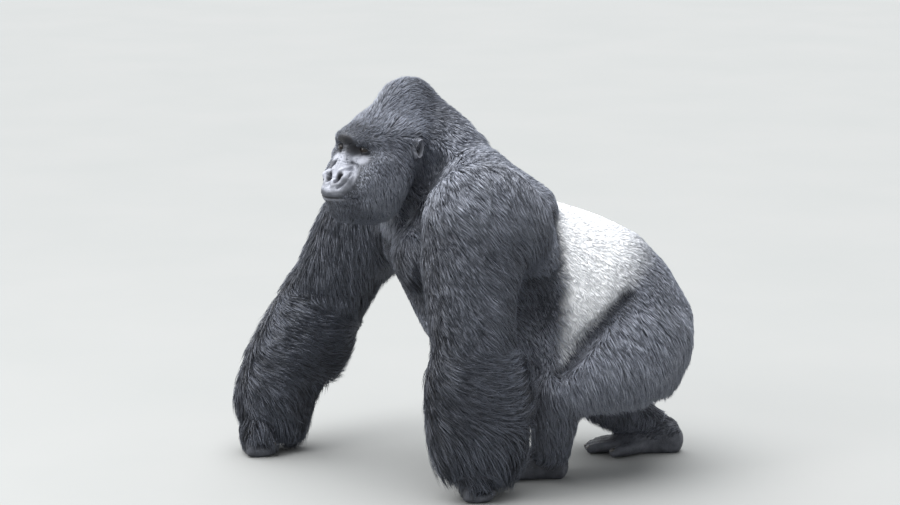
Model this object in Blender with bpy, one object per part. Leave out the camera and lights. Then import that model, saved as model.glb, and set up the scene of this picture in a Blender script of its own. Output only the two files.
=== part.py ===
"""A life-size still model of a silverback mountain gorilla, walking on its knuckles with its head turned.

Units are metres, +Z up. The animal heads along -X, so its left side faces -Y. It stands on the floor, at
z = 0. Every outline is the outline of the coat. The body is blended whole from simple masses, then parted by
thin cuts. The masses are placed about a point of the floor below the chest, and at the end the whole model is
centred on its origin.
"""

import math

import bmesh
import bpy
from mathutils import Matrix, Vector

# ---------------------------------------------------------------- driving dimensions
HEAD_YAW = 42.0            # degrees the head turns to the animal's left
HEAD_AT = Vector((-0.159, -0.021, 0.889))    # midpoint between the ears
EYE_FORWARD, EYE_APART, EYE_UP = 0.1235, 0.074, 0.004
EYE_RADIUS = 0.0135
EAR_OUT = 0.104            # ear's root to the head's midline
BROW_SPAN = (-0.072, -0.050, -0.026, 0.0, 0.026, 0.050, 0.072)    # how far left the brow's stations lie

VOXEL = 0.0060             # grain of the blended body
BLEND_PASSES = 60          # smoothing of the blended body, and of the face, hands and feet
FINE_PASSES = 3
BODY_FACES = 1800          # triangles left on the smooth parts of the body
FINE_FACES = 3000          # triangles left on the face, hands and feet
CUT = 0.0004               # width of a parting cut
PLAY = 0.0003              # gap between an eye or ear and the head
CRUMB = 30                 # an island of fewer points is a crumb of a cut, not a part
FLOOR_CUT = 0.1            # depth of the block that cuts the soles and knuckles level

NECK_ROOT = Vector((0.020, 0.000, 0.830))    # where the neck leaves the trunk

TRUNK_MIDDLE = (0.28, 0.0, 0.50)

COAT_BLACK = (0.030, 0.031, 0.036)
COAT_GREY = (0.230, 0.235, 0.245)    # the saddle of the silverback
BARE_SKIN = (0.060, 0.058, 0.062)
EYE_BROWN = (0.045, 0.022, 0.012)

LEFT, RIGHT = -1.0, 1.0    # sign of y on each side
SIDES = ((LEFT, "left"), (RIGHT, "right"))

# ---------------------------------------------------------------- points and rings


def turn(degrees):
    """Rotation about +Z. A heading of -X turned by +42 degrees looks to the animal's left."""
    return Matrix.Rotation(math.radians(degrees), 3, "Z")


def ring(centre, across, along, half_across, half_along, count, power=2.0):
    """Points of a superellipse, starting on the side that `across` points to."""
    points = []
    for i in range(count):
        angle = 2 * math.pi * i / count
        c, s = math.cos(angle), math.sin(angle)
        u = math.copysign(abs(c) ** (2 / power), c) * half_across
        v = math.copysign(abs(s) ** (2 / power), s) * half_along
        points.append(centre + across * u + along * v)
    return points


def skin_rings(mass, rings):
    """Joins successive rings with faces and closes both ends, as one shell in the bmesh `mass`."""
    loops = [[mass.verts.new(p) for p in points] for points in rings]
    count = len(loops[0])
    faces = []
    for low, high in zip(loops, loops[1:]):
        for i in range(count):
            j = (i + 1) % count
            faces.append(mass.faces.new((low[i], low[j], high[j], high[i])))
    faces.append(mass.faces.new(list(reversed(loops[0]))))
    faces.append(mass.faces.new(loops[-1]))
    bmesh.ops.recalc_face_normals(mass, faces=faces)


def dome(rings):
    """Rounds both ends of a run of rings: two smaller rings beyond each end."""

    def beyond(last, inner):
        middle = sum(last, Vector()) / len(last)
        step = middle - sum(inner, Vector()) / len(inner)
        reach = min(step.length, 0.6 * (last[0] - middle).length)
        out = step.normalized() * reach if step.length > 0 else step
        return [
            [middle + (p - middle) * share + out * push for p in last]
            for share, push in ((0.75, 0.55), (0.35, 0.95))
        ]

    start = beyond(rings[0], rings[1])
    end = beyond(rings[-1], rings[-2])
    return start[::-1] + rings + end


def tube(mass, stations, side, count=16, power=2.0):
    """A limb: stations are (centre, half width across `side`, half width the other way)."""
    centres = [Vector(s[0]) for s in stations]
    rings = []
    for i, (_, wide, deep) in enumerate(stations):
        before, after = centres[max(i - 1, 0)], centres[min(i + 1, len(centres) - 1)]
        run = (after - before).normalized()
        across = (side - run * side.dot(run)).normalized()
        rings.append(ring(centres[i], across, run.cross(across), wide, deep, count, power))
    skin_rings(mass, dome(rings))


def ball(mass, centre, radii, axes=None):
    """An ellipsoid. `axes` is a 3x3 rotation, or None for the row axes."""
    scale = Matrix.Diagonal(Vector(radii)).to_4x4()
    spin = (axes or Matrix.Identity(3)).to_4x4()
    place = Matrix.Translation(Vector(centre)) @ spin @ scale
    bmesh.ops.create_uvsphere(mass, u_segments=24, v_segments=14, radius=1.0, matrix=place)


def tilted(degrees):
    """Axes for a mass whose long X axis rises towards -X by this angle."""
    return Matrix.Rotation(math.radians(degrees), 3, "Y")


# ---------------------------------------------------------------- trunk and neck
# (back x, z), (belly x, z), half width, yaw in degrees: the chest turns with the head
TRUNK = (
    ((0.640, 0.465), (0.555, 0.245), 0.120, 0),      # rump
    ((0.592, 0.545), (0.440, 0.240), 0.185, 0),      # hips
    ((0.510, 0.622), (0.300, 0.250), 0.212, 2),      # loin
    ((0.405, 0.674), (0.165, 0.262), 0.230, 5),      # waist
    ((0.305, 0.714), (0.050, 0.290), 0.232, 8),      # last ribs
    ((0.228, 0.752), (-0.045, 0.362), 0.236, 11),    # ribs
    ((0.172, 0.800), (-0.100, 0.470), 0.226, 14),    # breast
    ((0.122, 0.852), (-0.145, 0.570), 0.204, 18),    # shoulder girdle
    ((0.082, 0.904), (-0.155, 0.665), 0.170, 22),    # collar
    ((0.040, 0.956), (-0.150, 0.750), 0.142, 28),    # nape
    ((-0.006, 1.000), (-0.155, 0.820), 0.122, 34),   # behind the head
)
NECK_ASIDE = 0.045         # how far right of the body's midline the back of the turned head lies


def add_trunk(mass):
    rings = []
    for back, belly, half_width, yaw in TRUNK:
        spin = turn(yaw)
        up = Vector((back[0] - belly[0], 0, back[1] - belly[1]))
        aside = NECK_ASIDE * (yaw / TRUNK[-1][3]) ** 2
        centre = Vector(((back[0] + belly[0]) / 2, aside, (back[1] + belly[1]) / 2))
        across = spin @ Vector((0, -1, 0))
        rings.append(
            ring(centre, across, spin @ up.normalized(), half_width, up.length / 2, 28, 2.25)
        )
    skin_rings(mass, dome(rings))
    for side in (LEFT, RIGHT):
        ball(mass, (0.552, 0.090 * side, 0.355), (0.100, 0.105, 0.150), tilted(-14))   # buttock
        ball(mass, (-0.070, 0.085 * side, 0.610), (0.088, 0.110, 0.100), tilted(40))   # breast muscle


# ---------------------------------------------------------------- head
# In the head's own axes: forward, left and up from the midpoint between the ears.


def head_axes():
    forward = turn(HEAD_YAW) @ Vector((-1, 0, 0))
    left = turn(HEAD_YAW) @ Vector((0, -1, 0))
    return Matrix((forward, left, Vector((0, 0, 1)))).transposed()


def on_head(forward, left, up):
    return HEAD_AT + head_axes() @ Vector((forward, left, up))


def head_ball(mass, centre, radii, pitch=0.0, yaw=0.0):
    """An ellipsoid of the head. Pitch lifts its front, yaw turns its front to the left."""
    local = Matrix.Rotation(math.radians(yaw), 3, "Z") @ Matrix.Rotation(math.radians(-pitch), 3, "Y")
    ball(mass, on_head(*centre), radii, head_axes() @ local)


def head_tube(mass, stations, count=12):
    """A ridge of the head: stations are (centre, half width upright, half width the other way)."""
    placed = [(on_head(*centre), high, deep) for centre, high, deep in stations]
    tube(mass, placed, Vector((0, 0, 1)), count)


def add_head(mass):
    head_ball(mass, (-0.025, 0, 0.020), (0.125, 0.090, 0.095), 6)          # braincase
    head_ball(mass, (-0.078, 0, 0.078), (0.118, 0.058, 0.096), -6)         # crest
    head_ball(mass, (0.000, 0, 0.066), (0.095, 0.054, 0.050), -16)         # front of the crest
    head_ball(mass, (-0.120, 0, 0.030), (0.105, 0.086, 0.108), -24)        # nape muscle
    head_ball(mass, (0.066, 0, 0.010), (0.078, 0.076, 0.056), 0)           # forehead
    head_ball(mass, (0.088, 0, 0.040), (0.058, 0.066, 0.036), -10)         # above the brow
    brow = [((0.140 - 9.0 * y * y, y, 0.036 - 3.5 * y * y), 0.0190, 0.022) for y in BROW_SPAN]
    head_tube(mass, brow)
    head_tube(mass, [((0.126, 0, 0.030), 0.020, 0.020), ((0.154, 0, -0.020), 0.022, 0.020),
                     ((0.184, 0, -0.055), 0.020, 0.022)])                  # bridge of the nose
    head_ball(mass, (0.134, 0, -0.088), (0.086, 0.058, 0.046), -8)         # muzzle
    head_ball(mass, (0.182, 0, -0.092), (0.044, 0.047, 0.035), -8)         # upper lip
    head_ball(mass, (0.150, 0, -0.120), (0.062, 0.052, 0.032), -6)         # lower lip
    head_ball(mass, (0.120, 0, -0.142), (0.088, 0.060, 0.046), -4)         # jaw
    head_ball(mass, (0.166, 0, -0.148), (0.046, 0.042, 0.036), 0)          # chin
    head_ball(mass, (0.070, 0, -0.134), (0.090, 0.082, 0.064), 0)          # throat and beard
    for left in (-1, 1):
        head_ball(mass, (0.084, 0.068 * left, -0.020), (0.046, 0.036, 0.032), -12, 16 * left)  # cheekbone
        head_ball(mass, (0.106, 0.030 * left, -0.040), (0.048, 0.034, 0.046), -40, 8 * left)  # eye bag
        head_ball(mass, (0.106, 0.050 * left, -0.068), (0.072, 0.042, 0.054), -20, 10 * left)  # muzzle side
        head_ball(mass, (0.096, 0.050 * left, -0.112), (0.064, 0.036, 0.052), -6, 10 * left)  # mouth corner
        head_ball(mass, (0.035, 0.066 * left, -0.072), (0.080, 0.048, 0.096), -10, 8 * left)   # cheek
        head_ball(mass, (0.182, 0.025 * left, -0.062), (0.027, 0.021, 0.018), 10, 24 * left)   # nostril wing
        head_ball(mass, (0.000, 0.064 * left, 0.012), (0.090, 0.044, 0.072))                   # temple


# ---------------------------------------------------------------- limbs
# shoulder, elbow, wrist, and the floor below the knuckles
ARMS = {
    LEFT: ((0.045, -0.225, 0.745), (0.030, -0.308, 0.410), (0.042, -0.262, 0.118), (0.045, -0.262, 0.0)),
    RIGHT: ((-0.115, 0.205, 0.725), (-0.300, 0.290, 0.410), (-0.458, 0.242, 0.105), (-0.478, 0.228, 0.0)),
}
# hip, knee, ankle, and the heel and toe on the floor
LEGS = {
    LEFT: (
        (0.530, -0.120, 0.370), (0.262, -0.195, 0.268), (0.258, -0.140, 0.075),
        (0.318, -0.120, 0.0), (0.050, -0.092, 0.0),
    ),
    RIGHT: (
        (0.530, 0.120, 0.390), (0.390, 0.182, 0.180), (0.600, 0.088, 0.064),
        (0.676, 0.075, 0.0), (0.400, 0.105, 0.0),
    ),
}


def between(a, b, share):
    return Vector(a).lerp(Vector(b), share)


def add_arm(mass, side):
    shoulder, elbow, wrist, _ = (Vector(p) for p in ARMS[side])
    run = (elbow - shoulder).normalized()
    lean = Matrix.Rotation(math.atan2(-run.x, -run.z), 3, "Y")
    deltoid = shoulder + Vector((0.018, 0.015 * side, -0.030))
    yoke = between(shoulder, NECK_ROOT, 0.45) + Vector((0.04, 0, 0))
    behind, blade = Vector((0.115, -0.060 * side, -0.135)), Vector((0.105, -0.085 * side, -0.010))
    ball(mass, deltoid, (0.165, 0.112, 0.165), lean)
    ball(mass, yoke, (0.100, 0.140, 0.105))
    ball(mass, shoulder + behind, (0.100, 0.085, 0.190), tilted(-14))
    ball(mass, shoulder + blade, (0.120, 0.095, 0.110), tilted(30))
    across = Vector((0, 1, 0))
    tube(
        mass,
        (
            (shoulder, 0.090, 0.135),
            (between(shoulder, elbow, 0.35), 0.106, 0.148),
            (between(shoulder, elbow, 0.75), 0.099, 0.128),
            (elbow, 0.092, 0.114),
        ),
        across,
    )
    tube(
        mass,
        (
            (elbow + Vector((0.004, 0, 0.035)), 0.088, 0.112),
            (between(elbow, wrist, 0.25), 0.100, 0.138),
            (between(elbow, wrist, 0.60), 0.098, 0.142),
            (between(elbow, wrist, 0.85), 0.088, 0.130),
            (wrist, 0.072, 0.104),
        ),
        across,
    )


def add_hand(mass, side):
    """A fist on the floor: the back of the hand faces forward, the middle finger bones bear the weight."""
    wrist = Vector(ARMS[side][2])
    x, y, _ = ARMS[side][3]
    forward, out = Vector((-1, 0, 0)), Vector((0, side, 0))
    tube(
        mass,
        (
            (wrist + Vector((0, 0, 0.02)), 0.044, 0.038),
            (Vector((x, y, 0.105)), 0.054, 0.036),
            (Vector((x, y, 0.070)) + forward * 0.006, 0.060, 0.032),
        ),
        out,
        power=2.6,
    )
    for i in range(4):
        spread = (i - 1.5) * 0.031
        bend = 0.004 * abs(i - 1.5)
        root = Vector((x, y, 0.0705)) + forward * (0.010 - bend) + out * spread
        tube(
            mass,
            (
                (root, 0.0175, 0.0185),
                (root + forward * 0.026 + Vector((0, 0, -0.034)), 0.0165, 0.0175),
                (root + forward * 0.030 + Vector((0, 0, -0.055)), 0.0165, 0.0165),
                (root + forward * 0.006 + Vector((0, 0, -0.0585)), 0.0155, 0.0155),
                (root - forward * 0.024 + Vector((0, 0, -0.0560)), 0.0150, 0.0145),
                (root - forward * 0.040 + Vector((0, 0, -0.0420)), 0.0130, 0.0130),
            ),
            out,
            count=12,
        )
    thumb = Vector((x, y, 0.085)) - out * 0.046 - forward * 0.010
    tube(
        mass,
        (
            (thumb, 0.016, 0.017),
            (thumb - out * 0.010 + Vector((0.008, 0, -0.030)), 0.0135, 0.014),
            (thumb - out * 0.012 + Vector((0.020, 0, -0.052)), 0.0105, 0.0115),
        ),
        out,
        count=12,
    )


def add_leg(mass, side):
    hip, knee, ankle = (Vector(p) for p in LEGS[side][:3])
    across = Vector((0, 1, 0))
    tube(
        mass,
        (
            (hip + Vector((0.010, 0, 0)), 0.105, 0.145),
            (between(hip, knee, 0.35), 0.110, 0.145),
            (between(hip, knee, 0.70), 0.096, 0.108),
            (knee, 0.078, 0.080),
        ),
        across,
        power=2.15,
    )
    tube(
        mass,
        (
            (knee + Vector((0, 0, 0.010)), 0.074, 0.074),
            (between(knee, ankle, 0.35), 0.072, 0.072),
            (between(knee, ankle, 0.75), 0.060, 0.060),
            (ankle, 0.046, 0.046),
        ),
        across,
    )


def add_foot(mass, side):
    heel, toe = (Vector(p) for p in LEGS[side][3:])
    run = (toe - heel).normalized()
    out = Vector((-run.y, run.x, 0))
    if out.y * side < 0:
        out = -out
    length = (toe - heel).length

    def at(share, sideways, height):
        return heel + run * (length * share) + out * sideways + Vector((0, 0, height))

    tube(
        mass,
        (
            (at(0.10, 0.0, 0.034), 0.036, 0.040),
            (at(0.30, 0.0, 0.036), 0.037, 0.042),
            (at(0.52, 0.002, 0.030), 0.046, 0.034),
            (at(0.68, 0.004, 0.024), 0.050, 0.026),
        ),
        out,
        power=2.4,
    )
    ball(mass, at(0.24, 0, 0.055), (0.052, 0.042, 0.050))                      # instep below the ankle
    for i in range(4):
        sideways = (i - 1.1) * 0.0235
        reach = 1.0 - 0.030 * abs(i - 0.7) ** 1.5
        tube(
            mass,
            (
                (at(0.66, sideways * 0.9, 0.022), 0.0150, 0.0180),
                (at(0.66 + (reach - 0.66) * 0.55, sideways, 0.021), 0.0135, 0.0165),
                (at(reach, sideways, 0.0145), 0.0130, 0.0140),
            ),
            out,
            count=12,
        )
    tube(
        mass,
        (
            (at(0.46, -0.030, 0.026), 0.020, 0.022),
            (at(0.62, -0.058, 0.021), 0.0180, 0.0180),
            (at(0.76, -0.072, 0.0165), 0.0165, 0.0160),
        ),
        out,
        count=12,
    )                                                                          # great toe


# ---------------------------------------------------------------- blending into one body


def new_object(name, mesh):
    obj = bpy.data.objects.new(name, mesh)
    bpy.context.scene.collection.objects.link(obj)
    return obj


def evaluated_mesh(obj):
    bpy.context.view_layer.update()
    graph = bpy.context.evaluated_depsgraph_get()
    return bpy.data.meshes.new_from_object(obj.evaluated_get(graph))


def remove(obj):
    bpy.data.objects.remove(obj)


def fineness(point):
    """1 on the face, hands and feet, which keep their detail, and 0 on the rest."""
    near = max(
        1.0 - max(0.0, (point - on_head(0.13, 0, -0.05)).length - 0.12) / 0.05,
        1.0 - max(0.0, point.z - 0.085) / 0.05,
    )
    return min(1.0, max(0.0, near))


def blended_body():
    mass = bmesh.new()
    add_trunk(mass)
    add_head(mass)
    for side in (LEFT, RIGHT):
        add_arm(mass, side)
        add_hand(mass, side)
        add_leg(mass, side)
        add_foot(mass, side)
    mesh = bpy.data.meshes.new("masses")
    mass.to_mesh(mesh)
    mass.free()
    rough = new_object("rough", mesh)
    remesh = rough.modifiers.new("blend", "REMESH")
    remesh.mode = "VOXEL"
    remesh.voxel_size = VOXEL
    body = new_object("body", evaluated_mesh(rough))
    remove(rough)

    coarse = body.vertex_groups.new(name="coarse")
    fine = body.vertex_groups.new(name="fine")
    for vertex in body.data.vertices:
        share = fineness(vertex.co)
        coarse.add([vertex.index], 1.0 - share, "REPLACE")
        fine.add([vertex.index], share, "REPLACE")
    for name, passes, group in (("all", FINE_PASSES, ""), ("coarse", BLEND_PASSES, "coarse")):
        smooth = body.modifiers.new(name, "SMOOTH")
        smooth.factor = 0.6
        smooth.iterations = passes
        smooth.vertex_group = group
    fine_now = sum(len(face.vertices) - 2 for face in body.data.polygons if fineness(face.center) > 0)
    all_now = sum(len(face.vertices) - 2 for face in body.data.polygons)
    thin(body, "coarse", (BODY_FACES + fine_now) / all_now)
    thin(body, "fine", (BODY_FACES + FINE_FACES) / (BODY_FACES + fine_now))
    mesh = evaluated_mesh(body)
    remove(body)
    return new_object("body", mesh)


def thin(body, group, share):
    """Keeps this share of the faces, taking away only inside the vertex group."""
    fewer = body.modifiers.new("thin " + group, "DECIMATE")
    fewer.ratio = share
    fewer.vertex_group = group
    fewer.vertex_group_factor = 0.0


def cut_by(obj, cutter):
    """The object less the cutter, as a new object. Both are removed."""
    cutter.display_type = "WIRE"
    cutter.hide_render = True
    less = obj.modifiers.new("cut", "BOOLEAN")
    less.operation = "DIFFERENCE"
    less.solver = "EXACT"
    less.object = cutter
    result = new_object(obj.name, evaluated_mesh(obj))
    remove(obj)
    remove(cutter)
    return result


def mesh_object(name, fill):
    """A new object whose mesh is made by `fill`, a function of an empty bmesh."""
    work = bmesh.new()
    fill(work)
    mesh = bpy.data.meshes.new(name)
    work.to_mesh(mesh)
    work.free()
    return new_object(name, mesh)


# ---------------------------------------------------------------- eyes and ears


def add_eye(work, left, grow=0.0):
    place = Matrix.Translation(on_head(EYE_FORWARD, EYE_APART / 2 * left, EYE_UP))
    radius = EYE_RADIUS + grow
    bmesh.ops.create_uvsphere(work, u_segments=14, v_segments=8, radius=radius, matrix=place)


def add_ear(work, left, grow=0.0):
    """A bowl with a rolled rim. Grown, it is the hollow that the ear sits in, without the bowl."""
    axes = head_axes() @ Matrix.Rotation(math.radians(-12), 3, "Y")
    flare = Matrix.Rotation(math.radians(16 * left), 3, "Z")
    forward, side, up = (axes @ flare @ Vector(v) for v in ((1, 0, 0), (0, left, 0), (0, 0, 1)))
    root = on_head(0, EAR_OUT * left, 0)
    # how far out, half width, half height
    root_end = (-0.022 - grow, 0.012, 0.020)
    rim = [(-0.004, 0.0165, 0.0260), (0.008, 0.0185, 0.0285), (0.013 + grow, 0.0170, 0.0270)]
    bowl = [] if grow else [(0.012, 0.0120, 0.0215), (0.004, 0.0085, 0.0165)]
    rings = []
    for out, half_wide, half_high in [root_end, *rim, *bowl]:
        centre = root + side * out
        rings.append(ring(centre, forward, up, half_wide + grow, half_high + grow, 16, 2.3))
    skin_rings(work, rings)


# ---------------------------------------------------------------- parting cuts
# a point of each cut's plane, and its normal
HEAD_CUT = (-0.070, -0.030, 0.840), (-0.80, -0.20, 0.566)
NECK_CUT = (-0.030, 0.000, 0.770), (-0.737, -0.157, 0.658)
HIP_CUT = (0.458, 0.108, 0.357), (0.356, 0.744, -0.565)       # on the right; mirrored on the left
SHOULDER_CUT = {LEFT: ((0.085, -0.195), (0.41, 0.91, 0.0)), RIGHT: ((-0.060, 0.205), (-0.56, 0.83, 0.0))}
KNEE_CUT = {LEFT: (-0.92, 0.02, -1.30), RIGHT: (0.05, 0.0, 1.0)}
SHOULDER_REACH = {LEFT: (0.225, 0.300), RIGHT: (0.190, 0.260)}      # half a plate's run, above and below
WRIST_DROP = 0.034         # the hair of the forearm hangs this far below the wrist
# a point, the normal and the two half sizes
ANKLE_CUT = {
    LEFT: ((0.238, -0.140, 0.088), (0.0, 0.0, 1.0), 0.085, 0.065),
    RIGHT: ((0.560, 0.110, 0.083), (-0.263, 0.0, 0.965), 0.130, 0.165),
}


def add_plate(work, centre, normal, half_level, half_other, thick=CUT):
    """A thin slab across `normal`. Its first half size runs level."""
    normal = Vector(normal).normalized()
    level = normal.cross(Vector((0, 0, 1)))
    level = level.normalized() if level.length > 0.01 else Vector((1, 0, 0))
    other = normal.cross(level)
    corners = [
        level * (half_level * u) + other * (half_other * v)
        for u, v in ((-1, -1), (1, -1), (1, 1), (-1, 1))
    ]
    half = normal * (thick / 2)
    skin_rings(work, [[Vector(centre) + c + push for c in corners] for push in (-half, half)])


def add_hip_plate(work, side):
    """Parts a thigh from the trunk, and stops at the body's midline."""
    centre, normal = (Vector((p[0], p[1] * side, p[2])) for p in HIP_CUT)
    add_plate(work, centre, normal, 0.29, 0.25)
    geometry = work.verts[:] + work.edges[:] + work.faces[:]
    bmesh.ops.bisect_plane(work, geom=geometry, plane_co=(0, 0, 0), plane_no=(0, side, 0), clear_inner=True)
    bmesh.ops.holes_fill(work, edges=[e for e in work.edges if e.is_boundary])


def add_cleft(work, front, rear, depth):
    """Parts the buttocks along the midline, below the line where the hip plates meet."""
    centre, normal = (Vector(p) for p in HIP_CUT)

    def meeting(x):
        return centre.z + (normal.x * (centre.x - x) + normal.y * centre.y) / normal.z

    low = meeting(front) - depth
    outline = [(front, meeting(front)), (rear, meeting(rear)), (rear, low), (front, low)]
    skin_rings(work, [[Vector((x, y, z)) for x, z in outline] for y in (-CUT / 2, CUT / 2)])


def partings():
    """In order: the name of the part, the cutters that free it, its joint, and a point near its middle."""

    def plate(*sizes):
        return lambda work: add_plate(work, *sizes)

    for side, word in SIDES:
        shoulder, elbow, wrist = (Vector(p) for p in ARMS[side][:3])
        ankle, heel, toe = (Vector(p) for p in LEGS[side][2:])
        fold = (elbow - shoulder).normalized() + (wrist - elbow).normalized()
        below_hair = wrist - Vector((0, 0, WRIST_DROP))
        yield "foot_" + word, [plate(*ANKLE_CUT[side])], ankle, between(heel, toe, 0.4)
        yield "hand_" + word, [plate(below_hair, (0, 0, 1), 0.16, 0.12)], wrist, wrist
        yield "forearm_" + word, [plate(elbow, fold, 0.20, 0.20)], elbow, between(elbow, wrist, 0.5)
    hips = [lambda work, side=side: add_hip_plate(work, side) for side, _ in SIDES]
    cleft = [lambda work: add_cleft(work, 0.42, 0.72, 0.10)]
    knees = [plate(LEGS[side][1], KNEE_CUT[side], 0.17, 0.16) for side, _ in SIDES]
    for side, word in SIDES:
        hip, knee, ankle = (Vector(p) for p in LEGS[side][:3])
        cutters = hips + cleft + knees if side == LEFT else []
        yield "thigh_" + word, cutters, hip, between(hip, knee, 0.35)
        yield "shin_" + word, [], knee, between(knee, ankle, 0.5)
    for side, word in SIDES:
        shoulder, elbow = (Vector(p) for p in ARMS[side][:2])
        (x, y), normal = SHOULDER_CUT[side]
        high, low = SHOULDER_REACH[side]
        cutters = [plate((x, y, 0.84), normal, high, 0.16), plate((x, y, 0.50), normal, low, 0.20)]
        yield "upper_arm_" + word, cutters, shoulder, between(shoulder, elbow, 0.35)
    yield "head", [plate(*HEAD_CUT, 0.50, 0.50)], HEAD_CUT[0], on_head(0.03, 0, 0)
    yield "neck", [plate(*NECK_CUT, 0.50, 0.50)], NECK_CUT[0], between(HEAD_CUT[0], NECK_CUT[0], 0.5)
    yield "trunk", [], TRUNK_MIDDLE, TRUNK_MIDDLE


def islands(mesh):
    """Sets of vertex indices joined by edges."""
    near = [[] for _ in mesh.vertices]
    for edge in mesh.edges:
        a, b = edge.vertices
        near[a].append(b)
        near[b].append(a)
    left = set(range(len(near)))
    found = []
    while left:
        front = [left.pop()]
        island = set(front)
        while front:
            for other in near[front.pop()]:
                if other in left:
                    left.discard(other)
                    island.add(other)
                    front.append(other)
        found.append(island)
    return found


def keep(body, name, island):
    """A new object of only these vertices of the body."""
    work = bmesh.new()
    work.from_mesh(body.data)
    bmesh.ops.delete(work, geom=[v for v in work.verts if v.index not in island], context="VERTS")
    mesh = bpy.data.meshes.new(name)
    work.to_mesh(mesh)
    work.free()
    return new_object(name, mesh)


def take(body, name, middle):
    """Takes the island whose middle is nearest out of the body. Returns the part and what is left."""

    def distance(island):
        spots = [body.data.vertices[i].co for i in island]
        return (sum(spots, Vector()) / len(spots) - Vector(middle)).length

    chosen = min((island for island in islands(body.data) if len(island) >= CRUMB), key=distance)
    part = keep(body, name, chosen)
    rest = keep(body, "rest", set(range(len(body.data.vertices))) - chosen)
    remove(body)
    return part, rest


# ---------------------------------------------------------------- finishing


def finish(obj, colour, roughness, joint):
    """Gives the part its material and sets its origin at its joint."""
    material = bpy.data.materials.new(obj.name)
    material.use_nodes = True
    material.diffuse_color = (*colour, 1.0)
    shader = material.node_tree.nodes["Principled BSDF"]
    shader.inputs["Base Color"].default_value = (*colour, 1.0)
    shader.inputs["Roughness"].default_value = roughness
    shader.inputs["Metallic"].default_value = 0.0
    obj.data.materials.clear()
    obj.data.materials.append(material)
    obj.data.transform(Matrix.Translation(-Vector(joint)))
    obj.location = joint


def main():
    for obj in list(bpy.data.objects):
        bpy.data.objects.remove(obj)
    body = blended_body()
    floor = ((0, 0, -FLOOR_CUT / 2), (0, 0, 1), 2.0, 2.0, FLOOR_CUT)
    body = cut_by(body, mesh_object("floor", lambda work: add_plate(work, *floor)))
    parts = []
    for left, word in ((1, "left"), (-1, "right")):
        body = cut_by(body, mesh_object("socket", lambda work: add_eye(work, left, PLAY)))
        body = cut_by(body, mesh_object("hollow", lambda work: add_ear(work, left, PLAY)))
        eye = mesh_object("eye_" + word, lambda work: add_eye(work, left))
        ear = mesh_object("ear_" + word, lambda work: add_ear(work, left))
        finish(eye, EYE_BROWN, 0.15, on_head(EYE_FORWARD, EYE_APART / 2 * left, EYE_UP))
        finish(ear, BARE_SKIN, 0.60, on_head(0, EAR_OUT * left, 0))
        parts += [eye, ear]
    for name, cutters, joint, middle in partings():
        for fill in cutters:
            body = cut_by(body, mesh_object("plate", fill))
        part, body = take(body, name, middle)
        finish(part, COAT_GREY if name == "trunk" else COAT_BLACK, 0.80, joint)
        parts.append(part)
    remove(body)

    bpy.context.view_layer.update()
    corners = [part.matrix_world @ Vector(corner) for part in parts for corner in part.bound_box]
    low, high = (Vector(pick(c[i] for c in corners) for i in range(3)) for pick in (min, max))
    stand = new_object("gorilla", None)
    stand.location = (-(low.x + high.x) / 2, -(low.y + high.y) / 2, 0)
    for part in parts:
        part.parent = stand


main()
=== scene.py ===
"""Looks of a life-size silverback mountain gorilla: skin, coat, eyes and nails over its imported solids.

Units are metres, +Z up; what stands inside metres() is in millimetres. The animal heads along -X, and its
left side faces -Y. The skin is one mesh, made from all the flesh solids and sunk below them by the depth of
the coat. The coat is closed tapered locks that follow the skin and the lie of the hair.
"""

import math

import bmesh
import bpy
import numpy as np
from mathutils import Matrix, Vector
from mathutils.bvhtree import BVHTree
from mathutils.kdtree import KDTree


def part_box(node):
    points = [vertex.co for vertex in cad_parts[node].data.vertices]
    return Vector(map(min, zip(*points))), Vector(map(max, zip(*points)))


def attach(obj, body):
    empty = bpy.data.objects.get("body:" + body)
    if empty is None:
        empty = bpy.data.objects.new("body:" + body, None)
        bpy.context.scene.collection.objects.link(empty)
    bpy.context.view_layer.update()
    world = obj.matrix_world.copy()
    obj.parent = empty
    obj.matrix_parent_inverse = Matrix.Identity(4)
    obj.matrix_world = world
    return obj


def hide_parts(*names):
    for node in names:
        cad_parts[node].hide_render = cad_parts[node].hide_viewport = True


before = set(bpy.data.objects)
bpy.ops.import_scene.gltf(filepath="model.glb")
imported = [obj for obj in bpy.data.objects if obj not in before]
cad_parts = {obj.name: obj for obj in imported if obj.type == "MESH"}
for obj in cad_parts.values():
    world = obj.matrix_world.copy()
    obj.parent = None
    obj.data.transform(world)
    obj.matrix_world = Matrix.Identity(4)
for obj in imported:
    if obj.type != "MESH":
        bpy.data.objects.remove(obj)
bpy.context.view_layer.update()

# ---- the animal's frame
EYES = ("eye_left", "eye_right")
FLESH = sorted(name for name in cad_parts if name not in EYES)


def middle(node):
    low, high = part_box(node)
    return np.array((low + high) / 2)


def half_height(node):
    low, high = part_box(node)
    return float((high - low).z) / 2


UP = np.array((0.0, 0.0, 1.0))
EYE_LEFT, EYE_RIGHT = middle("eye_left"), middle("eye_right")
EYE_RADIUS = half_height("eye_left")
EYE_APART = float(np.linalg.norm(EYE_LEFT - EYE_RIGHT))
SIDEWAYS = (EYE_LEFT - EYE_RIGHT) / EYE_APART
FORWARD = np.cross(SIDEWAYS, UP)
HEAD_AXES = np.stack((FORWARD, SIDEWAYS, UP))
# the head's own coordinates run forward, left and up from the midpoint between the ears
EYE_AT = np.array((0.1235, EYE_APART / 2, 0.004))
HEAD = (EYE_LEFT + EYE_RIGHT) / 2 - HEAD_AXES.T @ (EYE_AT * (1, 0, 1))


def to_head(points):
    return (points - HEAD) @ HEAD_AXES.T


def from_head(points):
    return np.asarray(points) @ HEAD_AXES + HEAD


def ease(low, high, values):
    """0 below low, 1 above high, and a smooth rise between the two."""
    t = np.clip((values - low) / (high - low), 0.0, 1.0)
    return t * t * (3 - 2 * t)


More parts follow.
